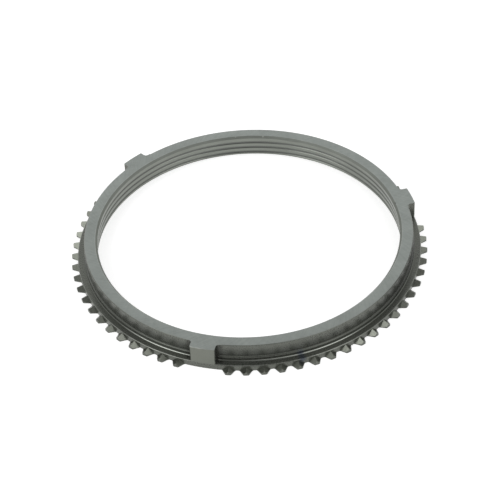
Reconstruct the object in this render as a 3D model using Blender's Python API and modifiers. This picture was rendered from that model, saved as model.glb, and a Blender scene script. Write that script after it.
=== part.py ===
"""Synchronizer ring for a manual gearbox: a turned steel ring with a grooved
friction cone inside, three driving lugs and three runs of pointed locking teeth.

The ring lies flat on its gear side. Its axis is +Z and its origin is the centre
of that side. Sizes are in metres, angles in degrees.
"""

import math

import bmesh
import bpy
from mathutils import Matrix, Vector

# Friction cone, open towards the gear side at the bottom
cone_mouth_radius = 0.0686
cone_half_angle = 5.5
mouth_edge_break = 0.0003
back_chamfer = 0.0010

# Oil grooves round the cone
groove_width = 0.00150
groove_depth = 0.00040
groove_floor_width = 0.00090
land_width = 0.00150
first_land_width = 0.00065

# Turned section outside the cone
ring_height = 0.0112
wall_thickness = 0.0050
wall_edge_break = 0.0004
foot_step = 0.0005
foot_height = 0.0045
ledge_width = 0.00305
ledge_fillet = 0.0005
flange_thickness = 0.0028
flange_edge_break = 0.0003

# Driving lugs, flush with the flange's rim
lug_count = 3
lug_width = 0.0108
lug_edge_break = 0.0003
lug_root_fillet = 0.0012
first_lug_angle = 15.0

# Locking teeth, a run of them between each two lugs; a lug takes the place of two
teeth_in_run = 20
left_out_tooth_count = 2
tooth_height = 0.00285
tooth_share_of_pitch = 0.52
flank_angle = 30.0
tooth_root_fillet = 0.0005
tooth_corner_break = 0.0003
ridge_drop = 0.0004
ridge_fall_angle = 11.5
roof_angle = 39.5
tip_chamfer_angle = 63.0
tip_face_height = 0.00147

# How far forms reach into and past each other before they are joined or cut
overlap = 0.0003
tail_depth = 0.00006
tail_share_of_gap = 0.5
cutter_margin = 0.0010
facing_allowance = 0.0005
pitch_facet_count = 2

# Places worked out from the sizes above
wall_radius = cone_mouth_radius + wall_thickness
foot_radius = wall_radius + foot_step
root_radius = foot_radius + ledge_width
tip_radius = root_radius + tooth_height
tooth_places = lug_count * (teeth_in_run + left_out_tooth_count)
tooth_pitch = math.tau / tooth_places
lug_pitch = math.tau / lug_count
cone_top = ring_height - back_chamfer
ridge_height = flange_thickness - ridge_drop


def cone_radius(height):
    """Radius of the friction cone at a height above the gear side."""
    return cone_mouth_radius - height * math.tan(math.radians(cone_half_angle))


def arc_corner(before, corner, after, radius, steps):
    """Points of a fillet or round that replaces one corner of an outline."""
    to_before = Vector(before) - Vector(corner)
    to_after = Vector(after) - Vector(corner)
    half_angle = to_before.angle(to_after) / 2
    room = 0.45 * min(to_before.length, to_after.length)
    tangent = min(radius / math.tan(half_angle), room)
    radius = tangent * math.tan(half_angle)
    start = Vector(corner) + to_before.normalized() * tangent
    end = Vector(corner) + to_after.normalized() * tangent
    inward = (to_before.normalized() + to_after.normalized()).normalized()
    centre = Vector(corner) + inward * (radius / math.sin(half_angle))
    points = []
    for step in range(steps + 1):
        spoke = (start - centre).slerp(end - centre, step / steps)
        points.append(tuple(centre + spoke.normalized() * radius))
    return points


def rounded(corners, steps=2):
    """Closed outline through (x, y, radius) corners, with arcs where radius is set."""
    points = []
    for index, (x, y, radius) in enumerate(corners):
        before = corners[index - 1][:2]
        after = corners[(index + 1) % len(corners)][:2]
        if radius > 0:
            points += arc_corner(before, (x, y), after, radius, steps)
        else:
            points.append((x, y))
    return points


def new_collection(name):
    collection = bpy.data.collections.new(name)
    bpy.context.scene.collection.children.link(collection)
    return collection


def turned(name, section, start_angle, collection):
    """Solid of revolution: a closed (radius, height) section with a Screw modifier."""
    count = len(section)
    mesh = bpy.data.meshes.new(name)
    mesh.from_pydata(
        [(radius, 0.0, height) for radius, height in section],
        [(index, (index + 1) % count) for index in range(count)],
        [],
    )
    solid = bpy.data.objects.new(name, mesh)
    collection.objects.link(solid)
    solid.rotation_euler.z = start_angle
    screw = solid.modifiers.new("turning", "SCREW")
    screw.axis = "Z"
    screw.angle = math.tau
    screw.steps = pitch_facet_count * tooth_places
    screw.render_steps = screw.steps
    screw.use_merge_vertices = True
    screw.merge_threshold = 0.000001
    return solid


def extruded(outline, bottom, top):
    """Bmesh of a flat outline carried up from one height to another."""
    curve = bpy.data.curves.new("outline", "CURVE")
    curve.dimensions = "2D"
    curve.fill_mode = "BOTH"
    curve.extrude = (top - bottom) / 2
    spline = curve.splines.new("POLY")
    spline.points.add(len(outline) - 1)
    for point, (x, y) in zip(spline.points, outline):
        point.co = (x, y, 0.0, 1.0)
    spline.use_cyclic_u = True
    carrier = bpy.data.objects.new("outline", curve)
    bpy.context.scene.collection.objects.link(carrier)
    graph = bpy.context.evaluated_depsgraph_get()
    mesh = bpy.data.meshes.new_from_object(carrier.evaluated_get(graph))
    form = bmesh.new()
    form.from_mesh(mesh)
    bmesh.ops.remove_doubles(form, verts=form.verts, dist=0.000001)
    bmesh.ops.recalc_face_normals(form, faces=form.faces)
    bmesh.ops.translate(form, verts=form.verts, vec=(0, 0, (bottom + top) / 2))
    bpy.data.objects.remove(carrier)
    bpy.data.curves.remove(curve)
    bpy.data.meshes.remove(mesh)
    return form


def ring_of(form, angle, copies):
    """Repeat everything in a bmesh round the ring's axis, an angle apart."""
    if copies > 1:
        bmesh.ops.spin(
            form,
            geom=form.verts[:] + form.edges[:] + form.faces[:],
            cent=(0, 0, 0),
            axis=(0, 0, 1),
            angle=angle * (copies - 1),
            steps=copies - 1,
            use_duplicate=True,
        )


def object_from(name, form, collection):
    mesh = bpy.data.meshes.new(name)
    form.to_mesh(mesh)
    form.free()
    solid = bpy.data.objects.new(name, mesh)
    collection.objects.link(solid)
    return solid


def combine(target, other, operation):
    boolean = target.modifiers.new(other.name, "BOOLEAN")
    boolean.operation = operation
    boolean.solver = "EXACT"
    boolean.object = other


def hide_as_cutter(solid):
    solid.hide_render = True
    solid.display_type = "WIRE"


def seated_outline(seat_radius, half_width, tail_reach, fillet, outer_corners):
    """Plan of a tooth or lug that grows out of a cylinder, pointing along +X.

    Each side starts inside the cylinder, leaves it at a shallow tail, turns
    outwards through the root fillet and then follows its outer corners. The
    other side mirrors it.
    """
    seat_angle = math.asin(half_width / seat_radius)
    tail_angle = seat_angle + tail_reach / seat_radius
    side = [
        (radius * math.cos(tail_angle), radius * math.sin(tail_angle), 0)
        for radius in (seat_radius - overlap, seat_radius - tail_depth)
    ]
    side.append((seat_radius * math.cos(seat_angle), half_width, fillet))
    side += outer_corners
    mirrored = [(x, -y, radius) for x, y, radius in reversed(side)]
    return rounded(side + mirrored)


def blank_section():
    """Section of the turned blank, with the cone and its grooves already cut.

    It runs down the rim, in along the gear side, up the cone and out along the
    back, so that its faces point outwards. The gear side still has the
    allowance that the facing cut takes off.
    """
    section = [
        (root_radius, ring_height, lug_edge_break),
        (root_radius, -facing_allowance, 0),
        (cone_mouth_radius + mouth_edge_break, -facing_allowance, 0),
        (cone_mouth_radius + mouth_edge_break, 0.0, 0),
        (cone_radius(mouth_edge_break), mouth_edge_break, 0),
    ]
    floor_margin = (groove_width - groove_floor_width) / 2
    bottom = mouth_edge_break + first_land_width
    while bottom + groove_width + land_width / 2 < cone_top:
        top = bottom + groove_width
        for height, depth in (
            (bottom, 0.0),
            (bottom + floor_margin, groove_depth),
            (top - floor_margin, groove_depth),
            (top, 0.0),
        ):
            section.append((cone_radius(height) + depth, height, 0))
        bottom = top + land_width
    section.append((cone_radius(cone_top), cone_top, 0))
    section.append((cone_radius(cone_top) + back_chamfer, ring_height, 0))
    return rounded(section)


def relief_section():
    """Section of the metal that is cut away outside the wall, between the lugs."""
    outside = root_radius + cutter_margin
    above = ring_height + cutter_margin
    rise = wall_edge_break + cutter_margin
    fall = flange_edge_break + cutter_margin
    section = [
        (outside, above, 0),
        (outside, flange_thickness - fall, 0),
        (root_radius - flange_edge_break, flange_thickness, 0),
        (foot_radius, flange_thickness, ledge_fillet),
        (foot_radius, foot_height, 0),
        (wall_radius, foot_height + foot_step, 0),
        (wall_radius, ring_height - wall_edge_break, 0),
        (wall_radius - rise, above, 0),
    ]
    return rounded(section)


def lug_outline():
    """Plan of one lug: flat sides, root fillets and chamfered outer corners."""
    half_width = lug_width / 2
    corner = math.sqrt(root_radius**2 - half_width**2)
    outside = root_radius + 2 * cutter_margin
    outer_corners = [
        (corner - lug_edge_break, half_width, 0),
        (corner + overlap, half_width - lug_edge_break - overlap, 0),
        (outside, half_width - lug_edge_break - overlap, 0),
    ]
    tail_reach = 2 * lug_root_fillet
    return seated_outline(wall_radius, half_width, tail_reach, lug_root_fillet, outer_corners)


def tooth_outline():
    """Plan of one tooth: straight flanks that narrow towards its tip."""
    middle_radius = root_radius + tooth_height / 2
    middle = tooth_share_of_pitch * tooth_pitch * middle_radius / 2
    slope = math.tan(math.radians(flank_angle))
    root = middle + slope * tooth_height / 2
    tip = middle - slope * tooth_height / 2
    tail_reach = (tooth_pitch * root_radius / 2 - root) * tail_share_of_gap
    corners = [(tip_radius, tip, tooth_corner_break)]
    return seated_outline(root_radius, root, tail_reach, tooth_root_fillet, corners)


def cut_above(form, point, normal):
    """Cut away all that lies above a plane, and close the cut with a face."""
    geometry = form.verts[:] + form.edges[:] + form.faces[:]
    cut = bmesh.ops.bisect_plane(
        form, geom=geometry, plane_co=point, plane_no=normal, clear_outer=True
    )
    rim = [item for item in cut["geom_cut"] if isinstance(item, bmesh.types.BMEdge)]
    bmesh.ops.holes_fill(form, edges=rim)


def locking_teeth(collection):
    """All the locking teeth: one tooth, cut to its point and then repeated.

    A roof of two facets meets on a ridge that falls slightly towards the tip,
    where a small chamfer breaks it.
    """
    form = extruded(tooth_outline(), -facing_allowance, flange_thickness)
    fall = math.tan(math.radians(ridge_fall_angle))
    roof = math.tan(math.radians(roof_angle))
    ridge = (root_radius, 0.0, ridge_height)
    for side in (-1, 1):
        cut_above(form, ridge, (fall, side * roof, 1.0))
    chamfer = math.tan(math.radians(tip_chamfer_angle))
    tip = (tip_radius, 0.0, tip_face_height)
    cut_above(form, tip, (chamfer, 0.0, 1.0))
    bmesh.ops.recalc_face_normals(form, faces=form.faces)
    first_tooth = math.radians(first_lug_angle) + (left_out_tooth_count + 1) / 2 * tooth_pitch
    bmesh.ops.rotate(form, verts=form.verts, matrix=Matrix.Rotation(first_tooth, 3, "Z"))
    ring_of(form, tooth_pitch, teeth_in_run)
    ring_of(form, lug_pitch, lug_count)
    return object_from("locking_teeth", form, collection)


def lug_forms(collection):
    """The places of the lugs, which the relief goes round."""
    form = extruded(lug_outline(), -facing_allowance, ring_height + 2 * cutter_margin)
    turn = Matrix.Rotation(math.radians(first_lug_angle), 3, "Z")
    bmesh.ops.rotate(form, verts=form.verts, matrix=turn)
    ring_of(form, lug_pitch, lug_count)
    return object_from("lug_forms", form, collection)


def facing_cutter(collection):
    """Slab that faces the gear side of the ring and of the teeth flat."""
    form = bmesh.new()
    bmesh.ops.create_cube(form, size=1.0)
    across = 2 * (tip_radius + cutter_margin)
    depth = facing_allowance + cutter_margin
    bmesh.ops.scale(form, verts=form.verts, vec=(across, across, depth))
    bmesh.ops.translate(form, verts=form.verts, vec=(0, 0, -depth / 2))
    return object_from("facing_cutter", form, collection)


def machined_steel():
    """Dull dark grey of hardened and phosphated steel."""
    steel = bpy.data.materials.new("machined_steel")
    steel.use_nodes = True
    shader = steel.node_tree.nodes["Principled BSDF"]
    shader.inputs["Base Color"].default_value = (0.21, 0.22, 0.21, 1.0)
    shader.inputs["Metallic"].default_value = 0.9
    shader.inputs["Roughness"].default_value = 0.42
    return steel


def settle(solid, material):
    """Apply the modifiers, and shade round faces smooth and edges sharp."""
    graph = bpy.context.evaluated_depsgraph_get()
    mesh = bpy.data.meshes.new_from_object(solid.evaluated_get(graph))
    solid.modifiers.clear()
    solid.data = mesh
    mesh.materials.clear()
    mesh.materials.append(material)
    mesh.shade_smooth()
    mesh.set_sharp_from_angle(angle=math.radians(25))


for leftover in list(bpy.data.objects):
    bpy.data.objects.remove(leftover)

parts = new_collection("synchronizer ring")
cutters = new_collection("cutters")

# The blank's facets start half a facet away from those of the relief and from
# the ridges of the teeth, so that no two edges meet by running along each other
relief_start = math.radians(first_lug_angle)
blank_start = relief_start + tooth_pitch / pitch_facet_count / 2
ring = turned("synchronizer_ring", blank_section(), blank_start, parts)
relief = turned("relief_between_lugs", relief_section(), relief_start, cutters)
lugs = lug_forms(cutters)
teeth = locking_teeth(cutters)
facing = facing_cutter(cutters)
combine(relief, lugs, "DIFFERENCE")
combine(ring, relief, "DIFFERENCE")
combine(ring, teeth, "UNION")
combine(ring, facing, "DIFFERENCE")
for cutter in (relief, lugs, teeth, facing):
    hide_as_cutter(cutter)
settle(ring, machined_steel())
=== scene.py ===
"""Synchronizer ring of a heavy gearbox, in dull machined steel on a white floor.

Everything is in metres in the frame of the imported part: the ring lies on its
gear side at height zero, and its axis is +Z.
"""

import math

import bmesh
import bpy
from mathutils import Matrix


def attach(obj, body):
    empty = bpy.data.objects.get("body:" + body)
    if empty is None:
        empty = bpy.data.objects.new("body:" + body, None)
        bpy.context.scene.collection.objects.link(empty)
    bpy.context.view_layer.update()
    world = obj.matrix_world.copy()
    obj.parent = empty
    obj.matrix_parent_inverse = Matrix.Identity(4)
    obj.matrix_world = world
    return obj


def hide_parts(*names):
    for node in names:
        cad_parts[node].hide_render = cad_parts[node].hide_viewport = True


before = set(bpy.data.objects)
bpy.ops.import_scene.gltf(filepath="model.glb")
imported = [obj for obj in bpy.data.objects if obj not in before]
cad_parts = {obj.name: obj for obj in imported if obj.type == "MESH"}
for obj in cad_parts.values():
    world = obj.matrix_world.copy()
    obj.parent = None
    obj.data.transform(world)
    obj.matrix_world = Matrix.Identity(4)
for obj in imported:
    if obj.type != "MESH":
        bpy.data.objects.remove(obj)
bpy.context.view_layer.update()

# The turned body. The real ring is a steel forging that is turned all over: a
# flat back on top, an upright wall, a low step at its foot and a flat flange.
# Inside it is a friction cone, with three grooves that let the oil escape.

ring_height = 0.0112
mouth_radius = 0.0686
cone_half_angle = math.radians(5.5)
mouth_break = 0.0003
back_chamfer = 0.0010
rim_radius = 0.07715
wall_radius = 0.0736
foot_radius = 0.0741
foot_slope_bottom = 0.0046
foot_slope_top = 0.0049
flange_height = 0.0028
flange_break = 0.00025
wall_break_height = 0.00022
wall_break_slope = 2.5
groove_bottoms = (0.00095, 0.00395, 0.00695)
groove_width = 0.0015
groove_depth = 0.0004
groove_flank = 0.0003
tooth_places = 66
turning_steps = 8 * tooth_places


def turned(corners, start_angle):
    """Solid of revolution: a closed section of (radius, height) corners."""
    form = bmesh.new()
    points = [form.verts.new((radius, 0.0, height)) for radius, height in corners]
    section = [form.edges.new((points[index - 1], points[index])) for index in range(len(points))]
    bmesh.ops.rotate(form, verts=points, matrix=Matrix.Rotation(start_angle, 3, "Z"))
    bmesh.ops.spin(
        form,
        geom=points + section,
        cent=(0, 0, 0),
        axis=(0, 0, 1),
        angle=math.tau,
        steps=turning_steps,
        use_merge=True,
    )
    bmesh.ops.remove_doubles(form, verts=form.verts, dist=0.000001)
    bmesh.ops.recalc_face_normals(form, faces=form.faces)
    return form


def soften(form, radius, height, width, segments):
    """Round, fillet or break the circular edge at one radius and height."""
    circle = [
        edge
        for edge in form.edges
        if all(
            abs(math.hypot(end.co.x, end.co.y) - radius) < 0.00001
            and abs(end.co.z - height) < 0.00001
            for end in edge.verts
        )
    ]
    bmesh.ops.bevel(
        form,
        geom=circle,
        offset=width,
        affect="EDGES",
        segments=segments,
        profile=0.5,
        material=-1,
    )


def solid_from(name, form):
    mesh = bpy.data.meshes.new(name)
    form.to_mesh(mesh)
    form.free()
    solid = bpy.data.objects.new(name, mesh)
    bpy.context.scene.collection.objects.link(solid)
    return solid


def cone_radius(height):
    return mouth_radius - height * math.tan(cone_half_angle)


blank_corners = [
    (rim_radius, ring_height),
    (rim_radius, 0.0),
    (mouth_radius + mouth_break, 0.0),
    (cone_radius(mouth_break), mouth_break),
]
for bottom in groove_bottoms:
    top = bottom + groove_width
    blank_corners += [
        (cone_radius(bottom), bottom),
        (cone_radius(bottom + groove_flank) + groove_depth, bottom + groove_flank),
        (cone_radius(top - groove_flank) + groove_depth, top - groove_flank),
        (cone_radius(top), top),
    ]
cone_top = ring_height - back_chamfer
blank_corners += [
    (cone_radius(cone_top), cone_top),
    (cone_radius(cone_top) + back_chamfer, ring_height),
]

facet = math.tau / turning_steps
first_lug_angle = math.radians(15)
blank = turned(blank_corners, first_lug_angle + facet / 2)
soften(blank, rim_radius, ring_height, width=0.0003, segments=3)
soften(blank, rim_radius, 0.0, width=0.00012, segments=2)
soften(blank, cone_radius(cone_top) + back_chamfer, ring_height, width=0.00012, segments=2)
soften(blank, cone_radius(cone_top), cone_top, width=0.00010, segments=2)
for bottom in groove_bottoms:
    for edge_height in (bottom, bottom + groove_width):
        soften(blank, cone_radius(edge_height), edge_height, width=0.00006, segments=2)

beyond = 0.0010
wall_top = ring_height - wall_break_height
wall_break_width = wall_break_slope * (wall_break_height + beyond)
relief_corners = [
    (rim_radius + beyond, ring_height + beyond),
    (rim_radius + beyond, flange_height - flange_break - beyond),
    (rim_radius - flange_break, flange_height),
    (foot_radius, flange_height),
    (foot_radius, foot_slope_bottom),
    (wall_radius, foot_slope_top),
    (wall_radius, wall_top),
    (wall_radius - wall_break_width, ring_height + beyond),
]
relief = turned(relief_corners, first_lug_angle)
soften(relief, rim_radius - flange_break, flange_height, width=0.00010, segments=2)
soften(relief, foot_radius, flange_height, width=0.00050, segments=6)
soften(relief, foot_radius, foot_slope_bottom, width=0.00022, segments=4)
soften(relief, wall_radius, foot_slope_top, width=0.00030, segments=4)
soften(relief, wall_radius, wall_top, width=0.00028, segments=6)
body = solid_from("ring", blank)
cut_away = solid_from("relief_between_lugs", relief)

# The three driving lugs. They are left standing when the metal between them is
# milled away, so they are as high as the wall and end flush with the rim. The
# cutter leaves a fillet at each root, and their outer corners are broken.

lug_count = 3
lug_width = 0.0108
lug_fillet = 0.0012
lug_corner_break = 0.0003
root_overlap = 0.0003
tail_depth = 0.00006


def upright_edges(form, radius):
    """Vertical edges of a form that stand at about one distance from the axis."""
    return [
        edge
        for edge in form.edges
        if abs(edge.verts[0].co.z - edge.verts[1].co.z) > 0.0005
        and abs(math.hypot(edge.verts[0].co.x, edge.verts[0].co.y) - radius) < 0.00002
    ]


def rooted_form(corners, bottom, top):
    """Upright form along +X from one half of its plan, which is then mirrored."""
    form = bmesh.new()
    points = [form.verts.new((x, y, bottom)) for x, y in corners]
    half = form.faces.new(points)
    bmesh.ops.mirror(form, geom=points + [half], axis="Y", merge_dist=0.000001)
    bmesh.ops.dissolve_faces(form, faces=form.faces[:])
    rise = bmesh.ops.extrude_face_region(form, geom=form.faces[:])
    raised = [item for item in rise["geom"] if isinstance(item, bmesh.types.BMVert)]
    bmesh.ops.translate(form, verts=raised, vec=(0, 0, top - bottom))
    bmesh.ops.recalc_face_normals(form, faces=form.faces)
    return form


def break_edges(form, edges, width, segments):
    bmesh.ops.bevel(
        form,
        geom=edges,
        offset=width,
        affect="EDGES",
        segments=segments,
        profile=0.5,
        material=-1,
    )


def seat_corners(seat_radius, half_width, reach):
    """Half plan of a root: the axis, the tail in the cylinder, and the seat."""
    seat_angle = math.asin(half_width / seat_radius)
    tail_angle = seat_angle + reach / seat_radius
    inside = seat_radius - root_overlap
    tail = seat_radius - tail_depth
    return [
        (inside * math.cos(tail_angle), 0.0),
        (inside * math.cos(tail_angle), inside * math.sin(tail_angle)),
        (tail * math.cos(tail_angle), tail * math.sin(tail_angle)),
        (seat_radius * math.cos(seat_angle), half_width),
    ]


def round_the_axis(form, angle, copies):
    """Repeat a form round the ring's axis, an angle apart."""
    bmesh.ops.spin(
        form,
        geom=form.verts[:] + form.edges[:] + form.faces[:],
        cent=(0, 0, 0),
        axis=(0, 0, 1),
        angle=angle * (copies - 1),
        steps=copies - 1,
        use_duplicate=True,
    )


lug_half = lug_width / 2
lug_end = math.sqrt(rim_radius**2 - lug_half**2)
lug_corners = seat_corners(wall_radius, lug_half, 2 * lug_fillet)
lug_corners += [
    (lug_end - lug_corner_break, lug_half),
    (lug_end + lug_corner_break, lug_half - 2 * lug_corner_break),
    (rim_radius + 2 * beyond, lug_half - 2 * lug_corner_break),
    (rim_radius + 2 * beyond, 0.0),
]
lug = rooted_form(lug_corners, -beyond, ring_height + 2 * beyond)
break_edges(lug, upright_edges(lug, wall_radius), lug_fillet, segments=6)
bmesh.ops.rotate(lug, verts=lug.verts, matrix=Matrix.Rotation(first_lug_angle, 3, "Z"))
round_the_axis(lug, math.tau / lug_count, lug_count)
lugs = solid_from("lugs", lug)

# The locking teeth. Twenty stand between each two lugs. Their flanks narrow
# towards the tip, and above they have a roof of two flats with a ridge, which
# turns the sliding sleeve's teeth into their gaps. They are cut from the rim.

teeth_in_run = 20
tooth_height = 0.00285
tooth_half_width = 0.00195
tooth_fillet = 0.0005
tooth_corner_break = 0.0003
flank_slope = math.tan(math.radians(30))
roof_slope = math.tan(math.radians(39.5))
ridge_fall = math.tan(math.radians(11.5))
ridge_height = 0.0024
tip_slope = math.tan(math.radians(63))
tip_top = 0.00147
tooth_pitch = math.tau / tooth_places
tip_radius = rim_radius + tooth_height
root_half = tooth_half_width + flank_slope * tooth_height / 2
tip_half = tooth_half_width - flank_slope * tooth_height / 2
tail_reach = (tooth_pitch * rim_radius / 2 - root_half) / 2


def cut_above(form, point, normal):
    """Cut away all that lies above a plane, and close the cut with a face."""
    geometry = form.verts[:] + form.edges[:] + form.faces[:]
    cut = bmesh.ops.bisect_plane(
        form, geom=geometry, plane_co=point, plane_no=normal, clear_outer=True
    )
    rim = [item for item in cut["geom_cut"] if isinstance(item, bmesh.types.BMEdge)]
    bmesh.ops.holes_fill(form, edges=rim)


tooth_corners = seat_corners(rim_radius, root_half, tail_reach)
tooth_corners += [(tip_radius, tip_half), (tip_radius, 0.0)]
tooth = rooted_form(tooth_corners, -beyond, flange_height)
root_edges = upright_edges(tooth, rim_radius)
break_edges(tooth, root_edges, tooth_fillet, segments=4)
tip_edges = upright_edges(tooth, math.hypot(tip_radius, tip_half))
break_edges(tooth, tip_edges, tooth_corner_break, segments=3)
for side in (-1, 1):
    cut_above(tooth, (rim_radius, 0, ridge_height), (ridge_fall, side * roof_slope, 1))
cut_above(tooth, (tip_radius, 0, tip_top), (tip_slope, 0, 1))
bmesh.ops.recalc_face_normals(tooth, faces=tooth.faces)
first_tooth = first_lug_angle + 1.5 * tooth_pitch
bmesh.ops.rotate(tooth, verts=tooth.verts, matrix=Matrix.Rotation(first_tooth, 3, "Z"))
round_the_axis(tooth, tooth_pitch, teeth_in_run)
round_the_axis(tooth, math.tau / lug_count, lug_count)
teeth = solid_from("locking_teeth", tooth)

# The whole ring in one piece, as it comes from the last machine. The lugs keep
# their metal from the cut between them, the teeth grow out of the rim, and the
# gear side is faced flat at the end.

slab_width = 0.2
facing = bmesh.new()
bmesh.ops.create_cube(facing, size=1.0)
bmesh.ops.scale(facing, verts=facing.verts, vec=(slab_width, slab_width, 2 * beyond))
bmesh.ops.translate(facing, verts=facing.verts, vec=(0, 0, -beyond))
facing_slab = solid_from("facing_slab", facing)


def combine(target, other, operation):
    boolean = target.modifiers.new(other.name, "BOOLEAN")
    boolean.operation = operation
    boolean.solver = "EXACT"
    boolean.object = other


combine(cut_away, lugs, "DIFFERENCE")
combine(body, cut_away, "DIFFERENCE")
combine(body, teeth, "UNION")
combine(body, facing_slab, "DIFFERENCE")


def apply_modifiers(solid):
    graph = bpy.context.evaluated_depsgraph_get()
    applied = bpy.data.meshes.new_from_object(solid.evaluated_get(graph))
    solid.modifiers.clear()
    solid.data = applied


apply_modifiers(body)
body.data.shade_smooth()
body.data.set_sharp_from_angle(angle=math.radians(25))
flat_faces = body.modifiers.new("flat faces stay flat", "WEIGHTED_NORMAL")
flat_faces.keep_sharp = True
apply_modifiers(body)
for tool in (cut_away, lugs, teeth, facing_slab):
    bpy.data.objects.remove(tool)
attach(body, "root")
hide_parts("synchronizer_ring")

# The steel. The ring is case hardened and comes out of the oil a dull dark
# grey. The back and the cone are ground afterwards and are the lightest. Edges
# and the fillet at the foot get painted highlights, and painted shade darkens the
# grooves, the recess between the lugs, the foot of the wall and the front lug's root.

ground_steel = (0.262, 0.284, 0.268, 1.0)
cone_steel = (0.216, 0.229, 0.205, 1.0)
# Painted shade for the grooves.
painted_groove_shade = (0.140, 0.148, 0.136, 1.0)
chamfer_steel = (0.180, 0.192, 0.173, 1.0)
outside_steel = (0.166, 0.175, 0.152, 1.0)
# Painted shade for the recess between the lugs.
painted_recess_shade = (0.124, 0.131, 0.114, 1.0)
# Painted shade for the lower part of the wall.
painted_low_wall_shade = (0.072, 0.077, 0.066, 1.0)
# Painted shade for the corner at the front lug's root.
painted_lug_root_shade = (0.045, 0.047, 0.040, 1.0)
# Painted highlight for three edges.
painted_edge_highlight = (0.46, 0.48, 0.45, 1.0)
# Painted shade for the fillet at the foot of the wall.
painted_fillet_shade = (0.092, 0.097, 0.086, 1.0)
# Painted highlight for two stretches of the fillet.
painted_fillet_highlight = (0.320, 0.335, 0.305, 1.0)
bright_nick = (0.50, 0.52, 0.48, 1.0)
dark_nick = (0.03, 0.032, 0.028, 1.0)
blue_smear = (0.045, 0.056, 0.080, 1.0)
millimetres = 1000.0


def node(tree, kind, **settings):
    made = tree.nodes.new("ShaderNode" + kind)
    for name, value in settings.items():
        setattr(made, name, value)
    return made


def feed(tree, socket, source):
    """Give a socket a fixed value or another node's output."""
    if isinstance(source, bpy.types.NodeSocket):
        tree.links.new(source, socket)
    else:
        socket.default_value = source


def calculate(tree, operation, *sources):
    made = node(tree, "Math", operation=operation)
    for socket, source in zip(made.inputs, sources):
        feed(tree, socket, source)
    return made.outputs[0]


def product(tree, first, *others):
    for other in others:
        first = calculate(tree, "MULTIPLY", first, other)
    return first


def hypotenuse(tree, x, y):
    squares = calculate(tree, "ADD", product(tree, x, x), product(tree, y, y))
    return calculate(tree, "SQRT", squares)


def smooth_step(tree, value, low, high, start=0.0, end=1.0):
    """Carry a value smoothly from start to end as it goes from low to high."""
    made = node(tree, "MapRange", interpolation_type="SMOOTHSTEP")
    for name, source in (
        ("Value", value),
        ("From Min", low),
        ("From Max", high),
        ("To Min", start),
        ("To Max", end),
    ):
        feed(tree, made.inputs[name], source)
    return made.outputs["Result"]


def noise(tree, place, scale, detail=3.0, roughness=0.5):
    made = node(tree, "TexNoise")
    feed(tree, made.inputs["Vector"], place)
    made.inputs["Scale"].default_value = scale
    made.inputs["Detail"].default_value = detail
    made.inputs["Roughness"].default_value = roughness
    return made.outputs["Fac"]


def combined(tree, x, y, z):
    made = node(tree, "CombineXYZ")
    for socket, source in zip(made.inputs, (x, y, z)):
        feed(tree, socket, source)
    return made.outputs[0]


def separated(tree, vector):
    """The three parts of a vector."""
    made = node(tree, "SeparateXYZ")
    feed(tree, made.inputs[0], vector)
    return made.outputs


def new_group(name, inputs, outputs):
    """Empty node group: inputs and outputs map a name to a kind of socket."""
    group = bpy.data.node_groups.new(name, "ShaderNodeTree")
    for direction, sockets in (("INPUT", inputs), ("OUTPUT", outputs)):
        for socket, kind in sockets.items():
            group.interface.new_socket(socket, in_out=direction, socket_type="NodeSocket" + kind)
    entry = group.nodes.new("NodeGroupInput")
    result = group.nodes.new("NodeGroupOutput")
    return group, entry.outputs, result.inputs


def use_group(tree, group, **sources):
    made = node(tree, "Group", node_tree=group)
    for name, source in sources.items():
        feed(tree, made.inputs[name.replace("_", " ")], source)
    return made.outputs


def length_round(angle):
    """Length in millimetres round the ring, measured at a radius of 72 mm."""
    return 72.0 * angle


def ring_place_group():
    """Radius and height in millimetres, and length round the ring at 72 mm."""
    group, entry, result = new_group(
        "place on ring",
        {"Position": "Vector"},
        {"Radius": "Float", "Height": "Float", "Around": "Float"},
    )
    x, y, z = separated(group, entry["Position"])
    angle = calculate(group, "ARCTAN2", y, x)
    feed(group, result["Radius"], product(group, hypotenuse(group, x, y), millimetres))
    feed(group, result["Height"], product(group, z, millimetres))
    feed(group, result["Around"], product(group, angle, length_round(1.0)))
    return group


def turning_marks_group():
    """Fine lines that run round the ring, a given number to the millimetre."""
    group, entry, result = new_group(
        "turning marks",
        {"Radius": "Float", "Height": "Float", "Around": "Float", "Lines": "Float"},
        {"Marks": "Float"},
    )
    across = product(group, entry["Radius"], entry["Lines"])
    upward = product(group, entry["Height"], entry["Lines"])
    along = product(group, entry["Around"], 0.06)
    feed(group, result["Marks"], noise(group, combined(group, across, upward, along), 1.0))
    return group


def grinding_marks_group():
    """Short strokes across the ring, crossed by a second, weaker set."""
    group, entry, result = new_group(
        "grinding marks", {"Radius": "Float", "Around": "Float"}, {"Marks": "Float"}
    )
    sets = []
    for slant, width, share in ((0.9, 0.8, 0.6), (-0.6, 1.7, 0.4)):
        sideways = calculate(group, "MULTIPLY_ADD", entry["Radius"], slant, entry["Around"])
        stroke = calculate(group, "DIVIDE", sideways, width)
        length = product(group, entry["Radius"], 0.16)
        place = combined(group, stroke, length, width)
        sets.append(product(group, noise(group, place, 1.0, detail=4.0, roughness=0.6), share))
    feed(group, result["Marks"], calculate(group, "ADD", *sets))
    return group


def edge_group():
    """Mask that is 1 on the circular edge at a radius and height, and fades."""
    group, entry, result = new_group(
        "circular edge",
        {
            "Radius": "Float",
            "Height": "Float",
            "At Radius": "Float",
            "At Height": "Float",
            "Width": "Float",
        },
        {"Mask": "Float"},
    )
    outward = calculate(group, "SUBTRACT", entry["Radius"], entry["At Radius"])
    upward = calculate(group, "SUBTRACT", entry["Height"], entry["At Height"])
    distance = hypotenuse(group, outward, upward)
    feed(group, result["Mask"], smooth_step(group, distance, entry["Width"], 0.0))
    return group


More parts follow.
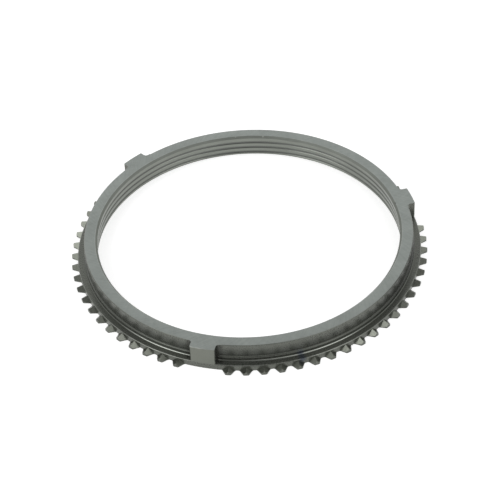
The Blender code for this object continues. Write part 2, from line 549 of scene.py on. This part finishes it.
def spot_group():
    """Mask of one ragged mark, round a place on the ring."""
    group, entry, result = new_group(
        "spot", {"Position": "Vector", "Place": "Vector", "Reach": "Float"}, {"Mask": "Float"}
    )
    wobble = noise(group, entry["Position"], 2500.0, detail=2.0)
    distance = node(group, "VectorMath", operation="DISTANCE")
    feed(group, distance.inputs[0], entry["Position"])
    feed(group, distance.inputs[1], entry["Place"])
    ragged = product(group, distance.outputs["Value"], calculate(group, "ADD", wobble, 0.5))
    feed(group, result["Mask"], smooth_step(group, ragged, entry["Reach"], 0.0))
    return group


def tinted(tree, colour, mask, tint):
    """Mix a colour towards a tint where a mask is 1."""
    made = node(tree, "Mix", data_type="RGBA")
    feed(tree, made.inputs[0], mask)
    feed(tree, made.inputs[6], colour)
    feed(tree, made.inputs[7], tint)
    return made.outputs[2]


def shaded(tree, colour, value):
    """Multiply a colour by a value."""
    made = node(tree, "VectorMath", operation="SCALE")
    feed(tree, made.inputs[0], colour)
    feed(tree, made.inputs["Scale"], value)
    return made.outputs["Vector"]


ring_place = ring_place_group()
turning_marks = turning_marks_group()
grinding_marks = grinding_marks_group()
circular_edge = edge_group()
spot = spot_group()

steel = bpy.data.materials.new("machined_steel")
steel.use_nodes = True
tree = steel.node_tree
shader = tree.nodes["Principled BSDF"]
position = node(tree, "TexCoord").outputs["Object"]
radius, height, around = use_group(tree, ring_place, Position=position)
upward = separated(tree, node(tree, "NewGeometry").outputs["True Normal"])["Z"]

# Masks of the ring's zones, by radius and height in millimetres

on_top = smooth_step(tree, height, 11.05, 11.15)
below_top = calculate(tree, "SUBTRACT", 1.0, on_top)
outside = product(tree, smooth_step(tree, radius, 73.2, 73.5), below_top)
tooth_roof = product(
    tree,
    smooth_step(tree, radius, 77.1, 77.2),
    smooth_step(tree, upward, 0.2, 0.4),
)
not_roof = calculate(tree, "SUBTRACT", 1.0, tooth_roof)
between_teeth = product(tree, smooth_step(tree, height, 2.9, 2.8), not_roof)
inside_rim = smooth_step(tree, radius, 77.0, 76.6)
in_recess = product(tree, outside, calculate(tree, "MAXIMUM", inside_rim, between_teeth))

# Painted shade: in the recess the wall darkens from 10.4 mm down to 7 mm and stays dark to its foot,
# unevenly.
shade_unevenness = smooth_step(tree, noise(tree, position, 180.0, detail=4.0), 0.35, 0.70, 0.82, 1.12)
shade_low_on_wall = product(
    tree,
    in_recess,
    smooth_step(tree, height, 10.4, 7.0),
    smooth_step(tree, radius, 74.3, 74.0),
    shade_unevenness,
)
shade_low_on_wall = calculate(tree, "MINIMUM", shade_low_on_wall, 1.0)

# Painted shade in the corner where the front lug rises from the recess.
front_lug = length_round(first_lug_angle - math.tau / lug_count)
from_front_lug = calculate(tree, "ABSOLUTE", calculate(tree, "SUBTRACT", around, front_lug))
shade_at_lug_root = product(
    tree,
    smooth_step(tree, from_front_lug, 8.4, 6.8),
    smooth_step(tree, radius, 76.9, 74.5),
    in_recess,
)

# Painted shade: at the right, away from the lamp at the left, the recess is made up to 55 % darker,
# most of all above the ledge.
place = separated(tree, position)
shade_at_right = product(
    tree,
    smooth_step(tree, place["X"], 0.050, 0.066),
    smooth_step(tree, place["Y"], 0.004, -0.016),
    smooth_step(tree, height, 2.8, 3.2, 0.3, 1.0),
    in_recess,
)

cone_slope = -math.tan(cone_half_angle)
cone = calculate(tree, "MULTIPLY_ADD", height, cone_slope, millimetres * mouth_radius)
behind_cone = calculate(tree, "SUBTRACT", radius, cone)
below_edge = smooth_step(tree, height, 11.15, 11.05)
in_bore = product(tree, smooth_step(tree, radius, 69.2, 69.0), below_edge)
in_groove = product(tree, smooth_step(tree, behind_cone, 0.05, 0.25), in_bore)
on_back_chamfer = product(tree, in_bore, smooth_step(tree, height, 10.1, 10.3))

# Colour of each zone, with clouds, grinding strokes and turned lines over it

colour = ground_steel
for mask, tint in (
    (in_bore, cone_steel),
    # Painted shade: the grooves are darker than the cone.
    (in_groove, painted_groove_shade),
    (on_back_chamfer, chamfer_steel),
    (outside, outside_steel),
    # Painted shade: the recess between the lugs is darker.
    (in_recess, painted_recess_shade),
    # Painted shade: the lower wall is darker.
    (shade_low_on_wall, painted_low_wall_shade),
    # Painted shade: the front lug's root is darker still.
    (product(tree, shade_at_lug_root, 0.8), painted_lug_root_shade),
):
    colour = tinted(tree, colour, mask, tint)
# The painted shade at the right darkens the colour here.
colour = shaded(tree, colour, calculate(tree, "MULTIPLY_ADD", shade_at_right, -0.55, 1.0))

clouds = noise(tree, position, 90.0, detail=4.0)
fine_grain = noise(tree, position, 1400.0, detail=3.0)
turned_lines = use_group(
    tree, turning_marks, Radius=radius, Height=height, Around=around, Lines=3.5
)["Marks"]
strokes = use_group(tree, grinding_marks, Radius=radius, Around=around)["Marks"]
marks = node(tree, "Mix", data_type="FLOAT")
feed(tree, marks.inputs[0], on_top)
feed(tree, marks.inputs[2], calculate(tree, "MULTIPLY_ADD", turned_lines, 0.24, 0.88))
feed(tree, marks.inputs[3], calculate(tree, "MULTIPLY_ADD", strokes, 0.6, 0.70))
cloud_shade = calculate(tree, "MULTIPLY_ADD", clouds, 0.26, 0.87)
colour = shaded(tree, colour, product(tree, marks.outputs[0], cloud_shade))


def edge_mask(edge_radius, edge_height, width):
    sources = {
        "Radius": radius,
        "Height": height,
        "At_Radius": edge_radius,
        "At_Height": edge_height,
        "Width": width,
    }
    return use_group(tree, circular_edge, **sources)["Mask"]


# Painted highlights on three edges, painted shade on the fillet at the foot, and painted highlights
# on the fillet in two stretches

edge_highlights = 0.0
for edge_radius, edge_height, width in ((68.63, 11.2, 0.16), (77.0, 2.8, 0.22), (77.05, 11.1, 0.35)):
    edge_highlights = calculate(tree, "MAXIMUM", edge_highlights, edge_mask(edge_radius, edge_height, width))
patchy = smooth_step(tree, noise(tree, position, 260.0, detail=4.0), 0.35, 0.65)
edge_highlights = product(tree, edge_highlights, calculate(tree, "MULTIPLY_ADD", patchy, 0.45, 0.10))
colour = tinted(tree, colour, edge_highlights, painted_edge_highlight)

fillet = edge_mask(74.25, 2.95, 0.55)
# Painted shade: the fillet is darker.
colour = tinted(tree, colour, fillet, painted_fillet_shade)
fillet_highlights = 0.0
# Painted highlights on the fillet, in the two stretches where the lamps glint.
for centre_degrees, full, reach in ((-122.0, 8.0, 22.0), (-70.0, 10.0, 34.0)):
    centre = length_round(math.radians(centre_degrees))
    from_centre = calculate(tree, "ABSOLUTE", calculate(tree, "SUBTRACT", around, centre))
    stretch = smooth_step(tree, from_centre, reach, full)
    fillet_highlights = calculate(tree, "MAXIMUM", fillet_highlights, stretch)
colour = tinted(tree, colour, product(tree, fillet_highlights, fillet), painted_fillet_highlight)

# Single marks: nicks at the edges and a blue smear at the front

for place, reach, tint in (
    ((-0.0254, -0.0669, 0.0102), 0.0006, bright_nick),
    ((-0.0256, -0.0683, 0.0095), 0.0006, dark_nick),
    ((-0.0056, 0.0684, 0.0107), 0.0006, bright_nick),
    ((0.0075, 0.0680, 0.0107), 0.0006, bright_nick),
    ((0.0667, 0.0149, 0.0112), 0.0007, dark_nick),
    ((-0.0129, -0.0736, 0.0031), 0.0006, bright_nick),
    ((0.0210, -0.0711, 0.0035), 0.0024, blue_smear),
    ((0.0217, -0.0732, 0.0028), 0.0026, blue_smear),
    ((0.0222, -0.0751, 0.0020), 0.0024, blue_smear),
):
    mark = use_group(tree, spot, Position=position, Place=place, Reach=reach)["Mask"]
    colour = tinted(tree, colour, product(tree, mark, 0.85), tint)
feed(tree, shader.inputs["Base Color"], colour)

# The dull film in the recess, the gloss and the fine relief of the marks

film = product(tree, in_recess, calculate(tree, "SUBTRACT", 1.0, fillet))
feed(tree, shader.inputs["Metallic"], calculate(tree, "MULTIPLY_ADD", film, -0.4, 1.0))
dullness = 0.28
for mask, change in (
    (in_recess, -0.05),
    (fillet, -0.14),
    (on_back_chamfer, 0.24),
    (fine_grain, 0.10),
):
    dullness = calculate(tree, "MULTIPLY_ADD", mask, change, dullness)
feed(tree, shader.inputs["Roughness"], dullness)
bump = node(tree, "Bump")
bump.inputs["Strength"].default_value = 0.25
bump.inputs["Distance"].default_value = 0.00004
feed(tree, bump.inputs["Height"], calculate(tree, "MULTIPLY_ADD", turned_lines, 0.5, fine_grain))
feed(tree, shader.inputs["Normal"], bump.outputs[0])
body.data.materials.clear()
body.data.materials.append(steel)

# The floor, a plain white sheet of paper that keeps the ring's soft shadow.

sheet = bmesh.new()
bmesh.ops.create_grid(sheet, x_segments=1, y_segments=1, size=3.0)
floor = solid_from("floor", sheet)
paper = bpy.data.materials.new("white_paper")
paper.use_nodes = True
paper_shader = paper.node_tree.nodes["Principled BSDF"]
paper_shader.inputs["Base Color"].default_value = (0.8, 0.8, 0.8, 1.0)
paper_shader.inputs["Roughness"].default_value = 1.0
paper_shader.inputs["Specular IOR Level"].default_value = 0.0
paper_shader.inputs["Emission Color"].default_value = (1.0, 1.0, 1.0, 1.0)


def seen_directly(tree):
    """1 for rays of the camera, of gloss and through glass, and 0 for light."""
    path = node(tree, "LightPath").outputs
    first = calculate(tree, "MAXIMUM", path["Is Camera Ray"], path["Is Glossy Ray"])
    return calculate(tree, "MAXIMUM", first, path["Is Transmission Ray"])


glow = product(paper.node_tree, seen_directly(paper.node_tree), 0.60)
feed(paper.node_tree, paper_shader.inputs["Emission Strength"], glow)
floor.data.materials.append(paper)

# The light. The ring stands in a white room, with a soft lamp at the front left
# and a weaker one at the front right. A grey card hangs behind the camera, and
# what faces the camera mirrors it and stays darker.

world = bpy.data.worlds.new("white room")
bpy.context.scene.world = world
world.use_nodes = True
room = world.node_tree
background = room.nodes["Background"]
background.inputs["Color"].default_value = (1.0, 1.0, 1.0, 1.0)
direction = separated(room, node(room, "TexCoord").outputs["Generated"])
ceiling = smooth_step(room, direction["Z"], 0.58, 0.72, start=1.08, end=0.82)
dimmed = calculate(room, "MULTIPLY_ADD", seen_directly(room), 0.3, 0.7)
feed(room, background.inputs["Strength"], product(room, ceiling, dimmed))


def sky_place(azimuth, elevation, distance):
    """Point above the ring at an azimuth and elevation in degrees."""
    level = distance * math.cos(math.radians(elevation))
    return (
        level * math.cos(math.radians(azimuth)),
        level * math.sin(math.radians(azimuth)),
        distance * math.sin(math.radians(elevation)),
    )


def soft_lamp(name, place, size, power):
    lamp = bpy.data.lights.new(name, "AREA")
    lamp.size = size
    lamp.energy = power
    light = bpy.data.objects.new(name, lamp)
    light.location = place
    light.rotation_euler = light.location.to_track_quat("Z", "Y").to_euler()
    bpy.context.scene.collection.objects.link(light)


soft_lamp("lamp_at_left", sky_place(208, 47, 1.1), size=0.45, power=1.7)
soft_lamp("lamp_at_right", sky_place(326, 46, 1.1), size=0.42, power=0.95)

card_form = bmesh.new()
bmesh.ops.create_grid(card_form, x_segments=1, y_segments=1, size=0.5)
bmesh.ops.scale(card_form, verts=card_form.verts, vec=(0.66, 0.85, 1.0))
tipped = Matrix.Rotation(math.radians(40), 3, "X")
bmesh.ops.rotate(card_form, verts=card_form.verts, matrix=tipped)
bmesh.ops.translate(card_form, verts=card_form.verts, vec=sky_place(271, 52, 1.0))
card = solid_from("grey_card", card_form)
grey = bpy.data.materials.new("grey_card")
grey.use_nodes = True
grey_shader = grey.node_tree.nodes["Principled BSDF"]
grey_shader.inputs["Base Color"].default_value = (0.42, 0.42, 0.42, 1.0)
grey_shader.inputs["Roughness"].default_value = 1.0
card.data.materials.append(grey)
card.visible_camera = False

# The camera, as the photograph was taken: from the front, 41 degrees above the
# ring's plane, with a long lens that is turned a little to one side.

lens = bpy.data.cameras.new("camera")
lens.sensor_width = 36
lens.lens = 121.42
lens.clip_start = 0.01
camera = bpy.data.objects.new("camera", lens)
side_turn = Matrix.Rotation(math.radians(1.50), 4, "Z")
tilt_up = Matrix.Rotation(math.radians(48.671), 4, "X")
roll = Matrix.Rotation(math.radians(-2.966), 4, "Z")
step_back = Matrix.Translation((0.000334, 0.001482, 0.761809))
camera.matrix_world = side_turn @ tilt_up @ roll @ step_back
bpy.context.scene.collection.objects.link(camera)
bpy.context.scene.camera = camera
bpy.context.scene.view_settings.view_transform = "Standard"
